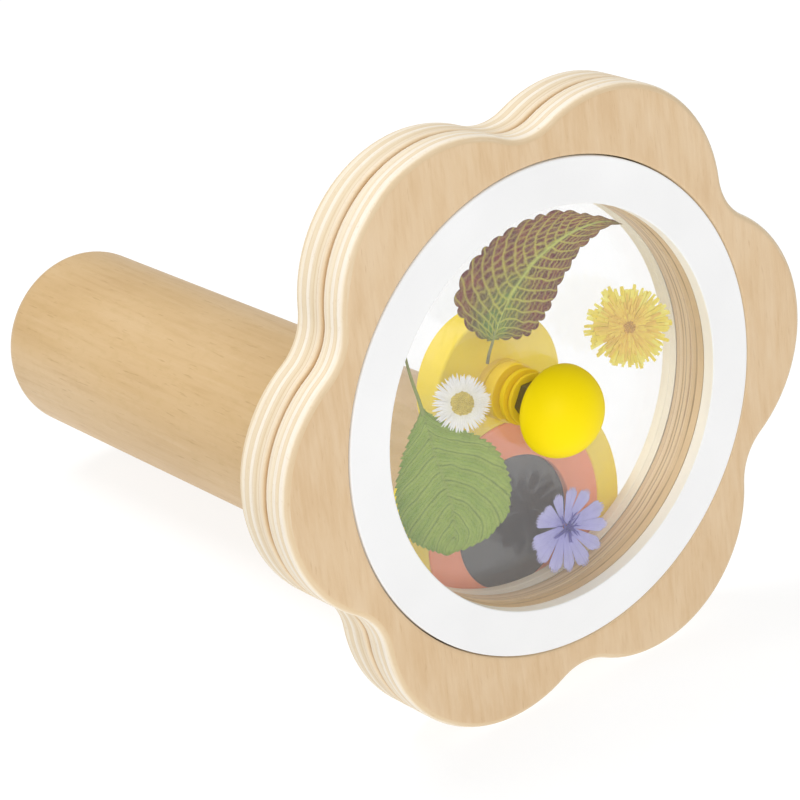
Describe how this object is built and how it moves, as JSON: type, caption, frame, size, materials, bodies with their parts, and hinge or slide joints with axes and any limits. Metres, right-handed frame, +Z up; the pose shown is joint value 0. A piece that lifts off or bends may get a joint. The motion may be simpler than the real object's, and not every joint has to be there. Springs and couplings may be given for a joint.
{
  "type": "kaleidoscope",
  "caption": "Wooden hand kaleidoscope: a round viewing tube with mirrors carries a free-turning flower-shaped wheel whose clear tray holds pressed flowers and leaves.",
  "frame": {"origin": "middle of the overall box in X and Y, at the height of the two lobes that the wheel stands on", "axes": "+Y along the tube and the axle towards the eyepiece, -Y towards the knob, +Z up with the tube below the axle"},
  "size_m": [0.146, 0.2188, 0.135],
  "materials": {
    "plywood": "sanded birch plywood with a clear satin finish, ply lines on the edges",
    "dowel_wood": "plain beech dowel",
    "tube_wood": "turned pale wood with a clear satin finish",
    "plug_wood": "turned pale wood with a clear satin finish",
    "white_plastic": "smooth matt white",
    "black_plastic": "matt black",
    "yellow_nylon": "moulded yellow nylon",
    "clear_acrylic": "polished clear acrylic",
    "smoked_glass": "polished grey window",
    "mirror": "front-silvered strip",
    "black_foam": "soft black foam",
    "yellow_lacquer": "satin yellow lacquer",
    "yellow_paint": "satin yellow paint",
    "coral_paint": "satin coral paint",
    "steel": "zinc-plated steel",
    "brass": "turned brass",
    "maroon_leaf": "pressed leaf, maroon with yellow-green veins",
    "green_leaf": "pressed green leaf",
    "white_petal": "pressed white flower with a yellow centre",
    "yellow_petal": "pressed yellow flower",
    "lilac_petal": "pressed lilac flower"
  },
  "bodies": {
    "handle": {"carrier_plate": "yellow_paint", "tube_body": "tube_wood", "coral_ring": "coral_paint", "object_window": "smoked_glass", "mirror_left": "mirror", "mirror_right": "mirror", "mirror_base": "mirror", "front_packing": "black_foam", "rear_packing": "black_foam", "eyepiece_plug": "plug_wood", "eyepiece_lens": "clear_acrylic", "axle_bolt": "steel", "rear_washer": "steel", "thrust_washer": "yellow_nylon", "front_washer": "yellow_nylon", "axle_nut": "black_plastic"},
    "wheel": {"front_plate": "plywood", "rear_plate": "plywood", "plate_dowels": "dowel_wood", "rear_clear_disc": "clear_acrylic", "rear_ring": "white_plastic", "hub_sleeve": "yellow_nylon", "hub_collar": "yellow_nylon", "coleus_leaf": "maroon_leaf", "green_leaf": "green_leaf", "daisy": "white_petal", "dandelion": "yellow_petal", "chicory": "lilac_petal"},
    "cover": {"cover_ring": "white_plastic", "front_clear_disc": "clear_acrylic", "knob": "yellow_lacquer", "knob_insert": "brass", "knob_screw": "steel"}
  },
  "joints": [
    {"name": "wheel_spin", "type": "hinge", "parent": "handle", "child": "wheel", "pos_m": [0, -0.08865, 0.06751], "axis": [0, 1, 0], "continuous": true},
    {"name": "cover_lift", "type": "slide", "parent": "wheel", "child": "cover", "axis": [0, -1, 0], "range_m": [0, 0.03]}
  ]
}
